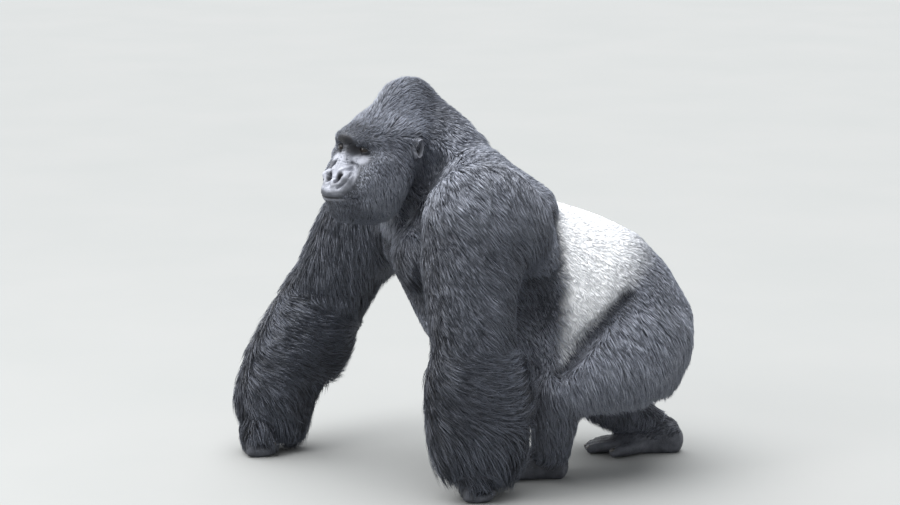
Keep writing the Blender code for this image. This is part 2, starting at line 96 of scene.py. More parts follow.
def norms(vectors):
    return np.linalg.norm(vectors, axis=-1)


def unit(vectors):
    return vectors / np.maximum(norms(vectors)[..., None], 1e-9)


def metres(millimetres):
    return np.array(millimetres) / 1000


def reach_from(points, centre, radii):
    return norms((points - centre) / radii)


def nearest_reach(points, places):
    """Each point's distance from the nearest of some places, over that place's radii."""
    return np.min([reach_from(points, place[:3], place[3:]) for place in places], axis=0)


def bell(distance, width=1, power=2):
    return np.exp(-((distance / width) ** power))


# ---- the coat, part by part
# depth of the coat, length and width of a lock, locks per square centimetre, the hair's heading, whether its
# locks bend enough to need three rings, and how grey it is
COAT = {
    "head": (0.009, 0.030, 0.0021, 7.0, (0.30, 0.0, -0.95), False, 0.50),
    "ear": (0.001, 0.010, 0.0014, 2.0, (0.30, 0.0, -0.95), False, 0.20),
    "neck": (0.011, 0.040, 0.0024, 5.6, (0.60, 0.0, -0.80), False, 1.00),
    "trunk": (0.006, 0.027, 0.0026, 4.0, (0.92, 0.0, -0.38), False, 1.00),
    "upper_arm": (0.013, 0.062, 0.0028, 4.0, (0.62, 0.0, -0.78), True, 0.17),
    "forearm": (0.016, 0.080, 0.0030, 4.3, (0.97, 0.0, -0.25), True, 0.02),
    "hand": (0.003, 0.026, 0.0020, 4.5, (0.10, 0.0, -0.98), False, 0.00),
    "thigh": (0.011, 0.050, 0.0028, 3.8, (0.42, 0.0, -0.90), True, 0.90),
    "shin": (0.010, 0.046, 0.0027, 4.0, (0.30, 0.0, -0.95), True, 0.35),
    "foot": (0.003, 0.024, 0.0020, 4.0, (-0.80, 0.0, -0.40), False, 0.00),
}
DEPTH, LENGTH, WIDTH, NUMBER, LIE, BENDS, GREY = range(7)


def kind(node):
    return node.removesuffix("_left").removesuffix("_right")


def of_kind(nodes, *kinds):
    """Which points belong to parts of these kinds."""
    return np.isin(nodes, [index for index, name in enumerate(FLESH) if kind(name) in kinds])


# ---- meshes as arrays
def gathered(items, key, width, dtype=float):
    """One property of all the items of a mesh, a row for each."""
    found = np.empty(len(items) * width, dtype)
    items.foreach_get(key, found)
    return found.reshape(-1, width)


class Surface:
    """A mesh as arrays, with neighbour averages and fields over its points."""

    def __init__(self, mesh):
        self.mesh = mesh
        self.points = gathered(mesh.vertices, "co", 3)
        edges = gathered(mesh.edges, "vertices", 2, np.int64)
        ends = np.concatenate((edges, edges[:, ::-1]))
        ends = ends[np.argsort(ends[:, 0], kind="stable")]
        self.others = ends[:, 1]
        self.valence = np.bincount(ends[:, 0], minlength=len(self.points))
        self.starts = np.concatenate(([0], np.cumsum(self.valence)[:-1]))

    def average(self, values):
        """Each point's mean over its neighbours."""
        total = np.add.reduceat(values[self.others], self.starts, axis=0)
        return total / self.valence.reshape((-1,) + (1,) * (values.ndim - 1))

    def relax(self, values, passes, share=0.5):
        for _ in range(passes):
            values = values + (self.average(values) - values) * share
        return values

    def smooth(self, share, where):
        self.points += (self.average(self.points) - self.points) * share * where[:, None]

    def push(self, height):
        """Moves the points along their normals."""
        self.points += self.normals() * height[:, None]

    def write(self):
        self.mesh.vertices.foreach_set("co", self.points.astype(np.float32).ravel())
        self.mesh.update()

    def normals(self):
        self.write()
        return gathered(self.mesh.vertex_normals, "vector", 3, np.float32).astype(float)

    def triangles(self):
        self.mesh.calc_loop_triangles()
        return gathered(self.mesh.loop_triangles, "vertices", 3, np.int32)

    def tree(self, triangles):
        return BVHTree.FromPolygons(self.points.tolist(), triangles.tolist())


def new_object(name, data):
    obj = bpy.data.objects.new(name, data)
    bpy.context.scene.collection.objects.link(obj)
    return obj


def from_bmesh(work, name):
    """The bmesh as a new mesh. The bmesh is freed."""
    mesh = bpy.data.meshes.new(name)
    work.to_mesh(mesh)
    work.free()
    return mesh


def finish_mesh(mesh, material):
    mesh.polygons.foreach_set("use_smooth", np.ones(len(mesh.polygons), bool))
    mesh.materials.append(material)


def write_fields(mesh, fields):
    for key, values in fields.items():
        made = mesh.attributes.new(key, "FLOAT", "POINT")
        made.data.foreach_set("value", values.astype(np.float32))


def evaluated(obj):
    """The object's mesh with its modifiers applied. The object is removed."""
    bpy.context.view_layer.update()
    graph = bpy.context.evaluated_depsgraph_get()
    mesh = bpy.data.meshes.new_from_object(obj.evaluated_get(graph))
    bpy.data.objects.remove(obj)
    return mesh


# ---- skin
GRAIN = 0.0045  # size of the skin's faces on the body
SWELL = 0.0004  # closes the parting cuts between the solids


def node_tree():
    """All the flesh solids in one tree, and the node of each of its faces."""
    corners, faces, owner = [], [], []
    for index, name in enumerate(FLESH):
        surface = Surface(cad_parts[name].data)
        triangles = surface.triangles() + len(corners)
        corners.extend(surface.points.tolist())
        faces.extend(triangles.tolist())
        owner.extend([index] * len(triangles))
    return BVHTree.FromPolygons(corners, faces), np.array(owner)


def merged_flesh():
    work = bmesh.new()
    for name in FLESH + list(EYES):
        one = bmesh.new()
        one.from_mesh(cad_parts[name].data)
        bmesh.ops.remove_doubles(one, verts=one.verts, dist=1e-5)
        one.normal_update()
        for vert in one.verts:
            vert.co += vert.normal * SWELL
        swollen = from_bmesh(one, name)
        work.from_mesh(swollen)
        bpy.data.meshes.remove(swollen)
    obj = new_object("flesh", from_bmesh(work, "flesh"))
    remesh = obj.modifiers.new("one skin", "REMESH")
    remesh.mode = "VOXEL"
    remesh.voxel_size = GRAIN
    return evaluated(obj)


def owners(surface, tree, owner):
    """The index of the node that each point belongs to."""
    return np.array([owner[tree.find_nearest(p)[2]] for p in surface.points.tolist()])


def part_values(nodes, column):
    table = np.array([COAT[kind(name)][column] for name in FLESH], float)
    return table[nodes]


# a place is a row of its centre and its radii, and a form adds its height along the skin's normal

# bare skin of the face, in the head's coordinates
BARE_FACE = metres((
    (150, 0, -9, 60, 60, 30),  # brow and eyes
    (180, 0, -60, 80, 52, 62),  # nose and lips
    (150, 0, 30, 50, 24, 14),  # middle of the brow
))


def face_reach(points):
    """How far each point is from the middle of the bare face, where its edge is about 1."""
    return nearest_reach(to_head(points), BARE_FACE)


FACE_MIDDLE, FACE_TALL = (0.165, 0, -0.05), 1.15
LOW = 0.07  # below it are the hands and feet


def in_face(points, reach):
    return norms((to_head(points) - FACE_MIDDLE) / (1, 1, FACE_TALL)) < reach


def in_ears(points, reach):
    spots = [middle("ear_left"), middle("ear_right")]
    return np.min([norms(points - spot) for spot in spots], axis=0) < reach


def in_face_or_ears(points, face, ears):
    return in_face(points, face) | in_ears(points, ears)


def refine(mesh, near):
    """Splits the faces whose centres satisfy `near`, an array test."""
    work = bmesh.new()
    work.from_mesh(mesh)
    centres = np.array([face.calc_center_median() for face in work.faces])
    chosen = near(centres)
    work.faces.ensure_lookup_table()
    edges = {edge for index in np.flatnonzero(chosen) for edge in work.faces[index].edges}
    bmesh.ops.subdivide_edges(work, edges=list(edges), cuts=1, use_grid_fill=True)
    work.to_mesh(mesh)
    work.free()


# forms that the joined solids smooth over
FORMS = metres((
    (150, -200, 690, 70, 100, 90, 24),  # shoulder blade, behind the near arm
    (118, -215, 500, 70, 80, 105, -48),  # hollow behind the elbow
    (85, -260, 500, 40, 70, 100, -16),  # back of the near upper arm
    (155, -140, 820, 55, 70, 40, -12),  # between neck and shoulder blade
    (-195, 222, 467, 60, 70, 75, -30),  # far armpit
    (556, -138, 275, 70, 90, 70, -20),  # under the rump
    (300, -225, 330, 110, 90, 70, 12),  # near thigh
    (300, 225, 330, 110, 90, 70, 12),  # far thigh
    (-385, 205, 443, 90, 80, 11, -10),  # far elbow's crease
    (390, 0, 660, 160, 220, 120, 11),  # loins
    (-10, -30, 900, 90, 110, 80, 9),  # nape
    (-375, 215, 165, 78, 100, 105, -50),  # behind the far wrist
    (-592, 240, 100, 50, 80, 80, 12),  # back of the far hand
    (-215, -10, 1025, 35, 60, 30, 6),  # front of the crest
))
# the gap between the jaw and the near shoulder
JAW_GAP = metres(((-98, -72, 853), (-130, -80, 803), (-166, -94, 755), (-191, -45, 706)))
JAW_GAP_HALF, JAW_GAP_DEPTH = 0.02, 0.036  # half its width, and how deep it is
# creases on the sides: which side, a line of (x, z), half width, depth
FLANK = metres(((195, 325), (260, 392), (330, 455), (388, 508)))
BLADE = metres(((178, 740), (203, 690), (216, 640), (210, 595), (175, 562), (110, 560)))
CREASES = ((-1, FLANK, 0.015, 0.03), (1, FLANK, 0.015, 0.018), (-1, BLADE, 0.012, 0.01))
CREASE_START = 0.085  # distance from the middle plane where creases begin


def line_distance(spots, line):
    """Each point's distance from a line of points, in as many dimensions as both have."""
    best = np.full(len(spots), np.inf)
    for start, end in zip(line, line[1:]):
        run = end - start
        share = np.clip((spots - start) @ run / (run @ run), 0, 1)
        best = np.minimum(best, norms(spots - start - share[:, None] * run))
    return best


def in_creases(points):
    """Each crease's side and depth, and 1 in it and 0 away from it for each point."""
    for side, line, half_width, depth in CREASES:
        apart = ease(CREASE_START, CREASE_START + 0.04, points[:, 1] * side)
        yield side, depth, bell(line_distance(points[:, ::2], line), half_width) * apart


def in_jaw_gap(points):
    return bell(line_distance(points, JAW_GAP), JAW_GAP_HALF)


def fill_out(surface, tree):
    """Gives back what smoothing took from the outer shape."""
    gap = np.zeros(len(surface.points))
    for index, point in enumerate(surface.points.tolist()):
        hit, normal, _, away = tree.find_nearest(point)
        if (Vector(point) - hit).dot(normal) < 0:
            gap[index] = min(away, 0.015)
    surface.push(surface.relax(gap, 6))


def shape_body(surface):
    for form in FORMS:
        share = bell(reach_from(surface.points, form[:3], form[3:6]), power=2.5)
        surface.push(share * form[6])
    surface.push(-in_jaw_gap(surface.points) * JAW_GAP_DEPTH)
    for side, depth, share in in_creases(surface.points):
        outward = ease(0.15, 0.6, surface.normals()[:, 1] * side)
        surface.push(-share * outward * depth)


SOLES = (0.1, 0.06)  # above the first height the skin is smoothed, below the second hardly
SMOOTHING, SINKING = 20, 4  # passes


def make_skin():
    """The skin's mesh, and the tree of the solids with the node of each of its faces."""
    tree, owner = node_tree()
    mesh = merged_flesh()
    surface = Surface(mesh)
    nodes = owners(surface, tree, owner)
    low = ease(*SOLES, surface.points[:, 2])
    reach = face_reach(surface.points)
    bare = 1 - ease(0.85, 1.25, reach)
    depth = part_values(nodes, DEPTH) * ease(0.95, 1.95, reach)
    depth = surface.relax(depth * ease(0.0, 0.05, surface.points[:, 2]), 40)
    calm = np.clip(1 - np.maximum(bare, low), 0.12, 1) * (1 - 0.85 * of_kind(nodes, "ear"))
    for _ in range(SMOOTHING):
        surface.smooth(0.6, calm)
    fill_out(surface, tree)
    shape_body(surface)
    for _ in range(SINKING):
        surface.push(-depth / SINKING)
        surface.smooth(0.3, calm)
    surface.points[:, 2] = np.maximum(surface.points[:, 2], 0.0)
    surface.write()
    refine(mesh, lambda spots: in_face_or_ears(spots, 0.12, 0.045) | (spots[:, 2] < LOW))
    refine(mesh, lambda spots: in_face_or_ears(spots, 0.095, 0.04))
    return mesh, tree, owner


# ---- face and ears
# hollows and swellings of the left half of the face, in the head's coordinates
SWELLINGS = metres((
    (150, 30, 40, 50, 46, 17, 5.5),  # brow ridge
    (138, 34, 12, 40, 24, 10, -5.5),  # socket, above the eye
    (150, 21, -8, 30, 12, 12, -2),  # beside the bridge
    (140, 50, -28, 40, 18, 14, 3),  # cheek below the eye
    (205, 12, -108, 50, 38, 24, 3.4),  # lips
    (200, 12, -52, 50, 36, 22, -2),  # nose
))
# folds of the left half of the face in millimetres: a line of (left, up) in the head's coordinates, half
# width, height
FOLDS = (
    # nostril and its rim
    (((4, -66), (10, -78), (23, -73), (34, -57), (33, -42), (22, -35), (11, -44), (5, -56)), 5, 4.2),
    (((10.5, -67.5), (16, -59), (22.5, -49.5)), 4.8, -21),
    (((22, -27), (37, -34), (42.5, -52), (37, -70), (24, -84)), 3.2, -6),
    (((26, -18), (47, -32), (52, -56), (46, -78)), 5, 3.2),
    (((0, -28), (0, -80)), 3, -2.4),  # furrow of the nose
    (((0, -108), (15, -107.5), (30, -108), (43, -110.5), (51, -114)), 2.2, -6),
    (((0, -100.5), (16, -100), (31, -101), (45, -104.5)), 4.5, 1.8),  # upper lip
    (((0, -115.5), (16, -115), (31, -115.5), (45, -118)), 4.5, 3.4),  # lower lip
    (((0, -126), (30, -128)), 6, -2.4),
    (((0, 54), (0, 18)), 4.5, -2),  # furrow of the brow
    (((12, 50), (9, 30)), 3, -1.2),
    (((0, 47), (20, 46), (38, 44)), 2, -1.2),
    (((14, 20), (36, 22.5), (58, 12)), 3.2, -3.4),  # above the upper lid
    (((16, -6), (34, -12.5), (55, -4)), 1.8, -3.4),  # under the eye
    (((14, -12), (34, -18.5), (60, -8)), 1.8, -3.4),
    (((15, -18), (36, -24.5), (64, -14)), 1.9, -3),
    (((18, -24), (40, -30), (64, -21)), 2, -2.8),
    (((26, -30), (44, -35.5), (62, -29)), 2.2, -2.2),
    (((48, -38), (58, -50), (62, -66)), 2.4, -2.2),
    (((56, -34), (67, -47), (71, -64)), 2.4, -1.8),
    (((0, 11), (13, 6)), 1.7, -2.2),  # wrinkles across the nose
    (((0, 3), (15, -3)), 1.7, -2.2),
    (((0, -5), (16, -10)), 1.7, -2.2),
    (((0, -13), (17, -18)), 1.7, -2.2),
    (((0, -21), (16, -25)), 1.7, -2.2),
    (((45, -78), (54, -96), (57, -114)), 4, -2.8),  # beside the mouth
    (((52, -60), (63, -80), (66, -104)), 4.5, -2),
    (((8, -90), (9, -101)), 2.2, -0.8),  # creases of the upper lip
    (((20, -89), (22, -101)), 2.2, -0.8),
    (((32, -92), (35, -104)), 2.2, -0.8),
)
LID_SPAN = (0.0118, 0.0036, 0.0036)  # half width, and height above and below, of the opening
LID_THICK, LID_EDGE = 0.002, 0.001  # the lids, and how much thicker they are at the opening
BEHIND_LIDS = 0.72  # where skin behind the opening goes, as a share of the eyeball's radius
RIM, RIDGE, BOWL, PIT = 0.0046, 0.0026, -0.0085, -0.008  # heights in the ear
EAR_WIDE, EAR_THICK = 0.66, 0.004  # an ear's width over its height, and half its thickness
BEFORE_FACE = 0.5  # how far in front of the head the face is looked at from


class Clay:
    """The skin's points in the head's coordinates, which brushes push about."""

    def __init__(self, surface, chosen):
        self.surface = surface
        self.chosen = chosen
        self.points = to_head(surface.points[chosen])
        self.normals = surface.normals()[chosen] @ HEAD_AXES.T
        triangles = surface.triangles()
        kept = triangles[chosen[triangles].all(axis=1)]
        index = np.cumsum(chosen) - 1
        self.tree = BVHTree.FromPolygons(self.points.tolist(), index[kept].tolist())

    def snap(self, left, up):
        """The point of the face that has this place when seen from the front."""
        return np.array(self.tree.ray_cast(Vector((BEFORE_FACE, left, up)), Vector((-1, 0, 0)))[0])

    def away_from(self, line):
        """Each point's distance from a line of points laid on the face."""
        return line_distance(self.points, [self.snap(left, up) for left, up in line.tolist()])

    def push(self, distance, height):
        self.points += self.normals * (bell(distance, power=2.4) * height)[:, None]

    def swell(self, centre, radii, height):
        for side in (1, -1):
            self.push(reach_from(self.points, centre * (1, side, 1), radii), height)

    def fold(self, line, half_width, height):
        for side in (1, -1) if line[:, 0].any() else (1,):
            self.push(self.away_from(line * (side, 1)) / half_width, height)

    def write(self):
        self.surface.points[self.chosen] = from_head(self.points)
        self.surface.write()


def shape_lids(clay, side):
    """Wraps the skin round the eyeball and opens it in an almond."""
    centre = EYE_AT * (1, side, 1)
    away = clay.points - centre
    reach = norms(away)
    half_width, above, below = LID_SPAN
    across = away[:, 1] * side / half_width
    upright = np.where(away[:, 2] > 0, away[:, 2] / above, away[:, 2] / below)
    almond = np.sqrt(across**2 + upright**2 * (1 + 0.5 * across**2))
    flat = norms(away[:, 1:])
    front = ease(-0.002, 0.006, away[:, 0])
    near = (1 - ease(0.013, 0.024, flat)) * front
    lid = EYE_RADIUS + LID_THICK
    target = np.where(almond > 1, lid + LID_EDGE * bell(almond - 1.2, 0.25), EYE_RADIUS * BEHIND_LIDS)
    moved = centre + away / reach[:, None] * target[:, None]
    clay.points += (moved - clay.points) * near[:, None]


def shape_ear(clay, node, side):
    """A rolled rim, an inner ridge and a bowl."""
    centre = to_head(middle(node))
    rise = half_height(node)
    local = (clay.points - centre) / (rise * EAR_WIDE, 1, rise)
    ring = np.hypot(local[:, 0], local[:, 2])
    outward = clay.normals[:, 1] * side
    on_ear = (ring < 1.25) & (clay.points[:, 1] * side > abs(centre[1]) - EAR_THICK)
    face = on_ear * ease(-0.1, 0.5, outward)
    back = ease(0.3, -0.5, local[:, 0])
    push = RIM * bell(ring - 0.9, 0.13)
    push += RIDGE * bell(ring - 0.52, 0.1) * np.maximum(back, ease(0, 0.5, local[:, 2]))
    push += BOWL * (1 - ease(0.45, 0.78, ring))
    push += PIT * (1 - ease(0.15, 0.42, np.hypot(local[:, 0] - 0.15, local[:, 2] + 0.15)))
    clay.points[:, 1] += side * push * face


def shape_face(mesh):
    surface = Surface(mesh)
    clay = Clay(surface, in_face(surface.points, 0.135))
    for form in SWELLINGS:
        clay.swell(form[:3], form[3:6], form[6])
    for line, half_width, height in FOLDS:
        clay.fold(metres(line), half_width / 1000, height / 1000)
    for side in (1, -1):
        shape_lids(clay, side)
    clay.write()
    ears = Clay(surface, in_ears(surface.points, 0.06))
    for node, side in (("ear_left", 1), ("ear_right", -1)):
        shape_ear(ears, node, side)
    ears.write()
    surface.smooth(0.22, in_face_or_ears(surface.points, 0.125, 0.05))
    surface.write()
    return surface


# ---- lie and length of the hair


def long_axis(node):
    """A part's corners, their middle, and the direction that it is longest in."""
    corners = Surface(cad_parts[node].data).points
    centre = corners.mean(axis=0)
    return corners, centre, np.linalg.eigh(np.cov((corners - centre).T))[1][:, 2]


def limb_offset(points, node):
    """How far behind a limb's own axis each point lies, as a share of its half width."""
    corners, centre, axis = long_axis(node)
    behind = np.array((1.0, 0, 0)) - axis * axis[0]
    behind /= np.linalg.norm(behind)
    return (points - centre) @ behind / np.percentile((corners - centre) @ behind, 97)


FAR_ARM_LIE = (0.18, 0.1, -1.0)  # the far upper arm slopes forward, and its hair runs down it
WRIST_LIE = np.array((0.25, 0, -0.95))
RUMP, RUMP_LIE = 0.45, (0.25, 0, -0.97)  # where the rump starts, and its hair's heading


def wrist_share(points, nodes):
    """1 at the wrists and 0 from the middle of the forearms up."""
    return of_kind(nodes, "forearm", "hand") * ease(0.27, 0.13, points[:, 2])


def shoulder_share(points, nodes):
    """1 on top of the shoulders and 0 on the rest of the arms."""
    return of_kind(nodes, "upper_arm") * ease(0.68, 0.82, points[:, 2])


def head_lie(head):
    """The heading of the hair on the head, in the head's coordinates."""
    lie = np.array((-0.3, 0, -0.95))
    crown = ease(-0.005, 0.05, head[:, 2] - 0.35 * np.maximum(0, -head[:, 0]))
    nape = ease(-0.02, -0.12, head[:, 0])
    beard = ease(-0.13, -0.19, head[:, 2])
    for share, other in ((crown, (-1.0, 0, 0.25)), (nape, (-0.6, 0, -0.8)), (beard, (-0.8, 0, -0.6))):
        lie = lie * (1 - share[:, None]) + np.array(other) * share[:, None]
    return lie


def lie_of_hair(surface, nodes, normals):
    """The heading of the hair at each point, along the skin."""
    points = surface.points
    heading = part_values(nodes, LIE)
    heading[nodes == FLESH.index("upper_arm_right")] = FAR_ARM_LIE
    for side in ("left", "right"):
        mine = nodes == FLESH.index("forearm_" + side)
        behind = np.clip(limb_offset(points[mine], "forearm_" + side), -1, 1)
        heading[mine, 2] = -0.12 + 0.5 * behind
    wrist = wrist_share(points, nodes)[:, None]
    heading = heading * (1 - wrist) + WRIST_LIE * wrist
    shoulder = shoulder_share(points, nodes)
    front = ease(0.2, 0.8, -normals[:, 0])
    limbs = of_kind(nodes, "forearm", "upper_arm")
    heading[:, 2] -= 0.7 * limbs * ease(0.5, 0.95, -normals[:, 0])
    heading[:, 1] -= 0.8 * (limbs & (points[:, 1] < 0)) * front
    outward = np.stack((0.5 - 0.35 * front, np.sign(points[:, 1]), -0.35 - 0.5 * front), axis=1)
    heading += (outward - heading) * shoulder[:, None]
    trunk = of_kind(nodes, "trunk")
    heading[trunk, 2] -= 0.9 * np.abs(normals[trunk, 1])
    heading[trunk & (points[:, 0] > RUMP)] = RUMP_LIE
    mine = of_kind(nodes, "head")
    heading[mine] = head_lie(to_head(points[mine])) @ HEAD_AXES
    heading = surface.relax(heading, 40)
    heading -= normals * (heading * normals).sum(axis=1, keepdims=True)
    return unit(heading)


def wander(points, scale, seed):
    """A smooth wave over space, from -1 to 1, out of a few crossing sines."""
    rng = np.random.default_rng(seed)
    total = np.zeros(len(points))
    for _ in range(7):
        wave = rng.normal(size=3)
        wave *= rng.uniform(0.6, 1.5) * 2 * math.pi / scale / np.linalg.norm(wave)
        total += np.sin(points @ wave + rng.uniform(0, 2 * math.pi))
    return np.clip(total / 3.2, -1, 1)


# the saddle: its front edge as (z, x), and the line of (x, z) above which the flank is silver
SADDLE_FRONT = metres(((330, 195), (500, 214), (620, 214), (700, 203), (765, 212), (800, 225), (900, 300)))
SADDLE_FAR_SHIFT = 0.055  # the far side shows more silver, as its arm reaches forward
SADDLE_FOOT = metres(((190, 318), (388, 508), (560, 640)))


def silver(points):
    """1 on the silver saddle and 0 on the black coat."""
    x, z = points[:, 0], points[:, 2]
    ragged = 0.005 * wander(points, 0.045, 5)
    far = ease(-0.12, 0.14, points[:, 1])
    ahead = x - np.interp(z, *SADDLE_FRONT.T) + SADDLE_FAR_SHIFT * far + ragged
    ahead += 0.02 * far * wander(points, 0.12, 8)
    saddle = ease(-0.014 - 0.02 * far, 0.022 + 0.045 * far, ahead)
    saddle = saddle * ease(-0.004, 0.03, z - np.interp(x, *SADDLE_FOOT.T) + 0.5 * ragged)
    rear = x + 0.5 * np.maximum(0, 0.66 - z) + 1.5 * ragged
    saddle = saddle * (1 - 0.9 * ease(0.35, 0.52, rear))
    return saddle * (0.55 + 0.45 * ease(0.36, 0.52, z))


# where the coat is darkened, on the body and on the head, whose centres are in its own coordinates: painted
# shade in the hollow behind the near elbow over partly black hair, behind the jaw and under the chin, and
# black hair on the brow
SHADED_BODY = metres((
    (120, -215, 520, 95, 110, 125),  # hollow behind the near elbow, painted shade over partly black hair
    (-150, -80, 780, 60, 60, 110),  # behind the jaw, painted shade
))
DARK_AND_SHADED_HEAD = metres((
    (125, 35, 48, 55, 55, 24),  # brow
    (125, -35, 48, 55, 55, 24),
    (150, 0, -165, 90, 80, 50),  # chin, painted shade under the jaw
))
DARK_AND_SHADED_HEAD[:, :3] = from_head(DARK_AND_SHADED_HEAD[:, :3])


# ---- locks
# rings along a lock, as shares of its length with its width there; the last share is the tip
BENT = ((0.0, 0.3, 0.65, 1.0), (0.7, 1.0, 0.72))
PLAIN = ((0.0, 0.48, 1.0), (0.8, 1.0))
PLUMP = 0.4  # thickness of a lock over its width
CLUMP_OF = 9  # locks drawn to one tip
CLUMP_PULL = 0.55
SUNK = 0.001  # depth of the roots in the skin
FLOOR_CLEAR = 0.003  # least height of a lock's line
FLOOR_NEAR = 0.07  # height below which locks lie closer to the skin
DROOP = 0.45  # how far hair below a limb hangs, over its length
STRAY, WAVE = 0.1, 0.22  # how far a lock turns off the lie alone and with its neighbours, in radians
LENGTHS, LIFTS, WIDTHS = (0.65, 1.15), (0.5, 1.3), (0.7, 1.25)  # least and most, over the usual
SILVER_SHORT, SILVER_FLAT = 0.25, 0.4  # how much shorter and flatter silver locks are
GROOVE_SHORT, GROOVE_FLAT, GROOVE_SHADE = 0.35, 0.75, 0.8  # the same in a gap, and how much painted shade darkens the locks there
PATCH = 0.003  # each lock's share of the baking map
MARGIN = 0.004  # free edge of that map
PIECE_LIMIT = 12000  # locks in one piece of the coat


class Roots:
    """Where locks grow: places on the skin and the fields of the skin there."""

    def __init__(self, surface, triangles, per_area, rng):
        corners = surface.points[triangles]
        area = norms(np.cross(corners[:, 1] - corners[:, 0], corners[:, 2] - corners[:, 0])) / 2
        wanted = np.cumsum(area * 1e4 * per_area[triangles].mean(axis=1))
        count = int(wanted[-1])
        draws = (np.arange(count) + rng.random(count)) / count * wanted[-1]
        self.face = np.minimum(np.searchsorted(wanted, draws), len(triangles) - 1)
        u, v = rng.random(count), rng.random(count)
        flip = u + v > 1
        u[flip], v[flip] = 1 - u[flip], 1 - v[flip]
        self.shares = np.stack((1 - u - v, u, v), axis=1)
        self.corners = triangles[self.face]

    def read(self, field):
        taken = field[self.corners]
        shares = self.shares if taken.ndim == 2 else self.shares[:, :, None]
        return (taken * shares).sum(axis=1)


def spines(start, triangles, tree, heading, length, lift, shares, rng):
    """Each lock's centreline: it runs with the lie of the hair and rises to the coat's depth."""
    place, normal, course = start
    face_heading = unit(heading[triangles].sum(axis=1))
    turned = rng.normal(0, STRAY, len(place)) + WAVE * wander(place, 0.05, 11)
    stations = [place - normal * SUNK]
    upward = [normal]
    for before, share in zip(shares, shares[1:]):
        step = unit(course * np.cos(turned)[:, None] + np.cross(normal, course) * np.sin(turned)[:, None])
        reached = place + step * (length * (share - before))[:, None]
        found = [tree.find_nearest(p) for p in reached.tolist()]
        place, normal = (np.array([hit[column] for hit in found]) for column in (0, 1))
        ahead = face_heading[[hit[2] for hit in found]]
        course = unit(ahead + course * 0.5)
        course = unit(course - normal * (course * normal).sum(axis=1, keepdims=True))
        room = 0.25 + 0.75 * ease(0.02, FLOOR_NEAR, place[:, 2])
        hung = DROOP * length * share**2 * np.clip(0.1 - normal[:, 2], 0, 1) * room
        stations.append(place + normal * (lift * room * share**0.75)[:, None] - np.outer(hung, UP))
        upward.append(normal)
    return np.stack(stations, axis=1), np.stack(upward, axis=1)


def draw_together(lines, shares, rng):
    """Locks lean towards the nearest leader's line, and more so towards the tip."""
    count = len(lines)
    leaders = np.append(0, np.flatnonzero(rng.random(count) < 1 / CLUMP_OF))
    tree = KDTree(len(leaders))
    for index, leader in enumerate(leaders):
        tree.insert(lines[leader, 0], index)
    tree.balance()
    follows = leaders[[tree.find(p)[1] for p in lines[:, 0].tolist()]]
    pull = (CLUMP_PULL * np.array(shares) ** 1.5)[None, :, None] * rng.uniform(0.4, 1.0, (count, 1, 1))
    return lines + (lines[follows] - lines) * pull


def lock_mesh(name, lines, upward, width, unwrap, shape, fields):
    """Closed three-sided locks that taper to a point."""
    shares, girth = shape
    rings = len(girth)
    count, size = len(lines), 3 * rings + 1
    ahead = np.gradient(lines, axis=1)
    aside = unit(np.cross(ahead, upward))[:, :rings]
    above = unit(np.cross(aside, ahead[:, :rings]))
    half = (width[:, None] * girth)[:, :, None] / 2
    base = lines[:, :rings]
    around = np.stack((base - aside * half, base + aside * half, base + above * half * 2 * PLUMP), axis=2)
    points = np.concatenate((around.reshape(count, size - 1, 3), lines[:, rings:]), axis=1)
    quads = [
        (3 * k + i, 3 * k + (i + 1) % 3, 3 * k + 3 + (i + 1) % 3, 3 * k + 3 + i)
        for k in range(rings - 1) for i in range(3)
    ]
    tips = [(size - 4 + i, size - 4 + (i + 1) % 3, size - 1) for i in range(3)]
    polygons = [(2, 1, 0)] + quads + tips
    loops = np.array([corner for polygon in polygons for corner in polygon])
    sizes = np.tile([len(polygon) for polygon in polygons], count)
    all_loops = ((np.arange(count) * size)[:, None] + loops).ravel()

    mesh = bpy.data.meshes.new(name)
    mesh.vertices.add(count * size)
    mesh.vertices.foreach_set("co", points.astype(np.float32).ravel())
    mesh.loops.add(len(all_loops))
    mesh.loops.foreach_set("vertex_index", all_loops.astype(np.int32))
    mesh.polygons.add(len(sizes))
    mesh.polygons.foreach_set("loop_start", np.concatenate(([0], np.cumsum(sizes)[:-1])).astype(np.int32))
    mesh.polygons.foreach_set("loop_total", sizes.astype(np.int32))
    mesh.update(calc_edges=True)

    across = np.array([0.0, 1.0, 0.5] * rings + [0.5])
    along = np.append(np.repeat(shares[:-1], 3), shares[-1])
    spot = np.stack((unwrap[:, :1] + across * PATCH, unwrap[:, 1:] + along * PATCH), axis=2).reshape(-1, 2)
    baked = mesh.uv_layers.new(name="OFBake")
    baked.data.foreach_set("uv", spot[all_loops].astype(np.float32).ravel())
    fields = {key: np.repeat(values, size) for key, values in fields.items()}
    write_fields(mesh, {**fields, "along": np.tile(along, count)})
    return mesh


def unwrapped(points, axis, origin):
    """A place in the unit square for each root: its turn about the part's axis, and its run along it."""
    across = np.cross(axis, (0.0, 1.0, 0.0) if abs(axis[1]) < 0.9 else (1.0, 0.0, 0.0))
    across /= np.linalg.norm(across)
    away = points - origin
    turn = np.arctan2(away @ np.cross(axis, across), away @ across)
    ranks = np.stack([np.argsort(np.argsort(value)) for value in (turn, away @ axis)], axis=1)
    return MARGIN + ranks / max(len(points) - 1, 1) * (1 - 2 * MARGIN - PATCH)


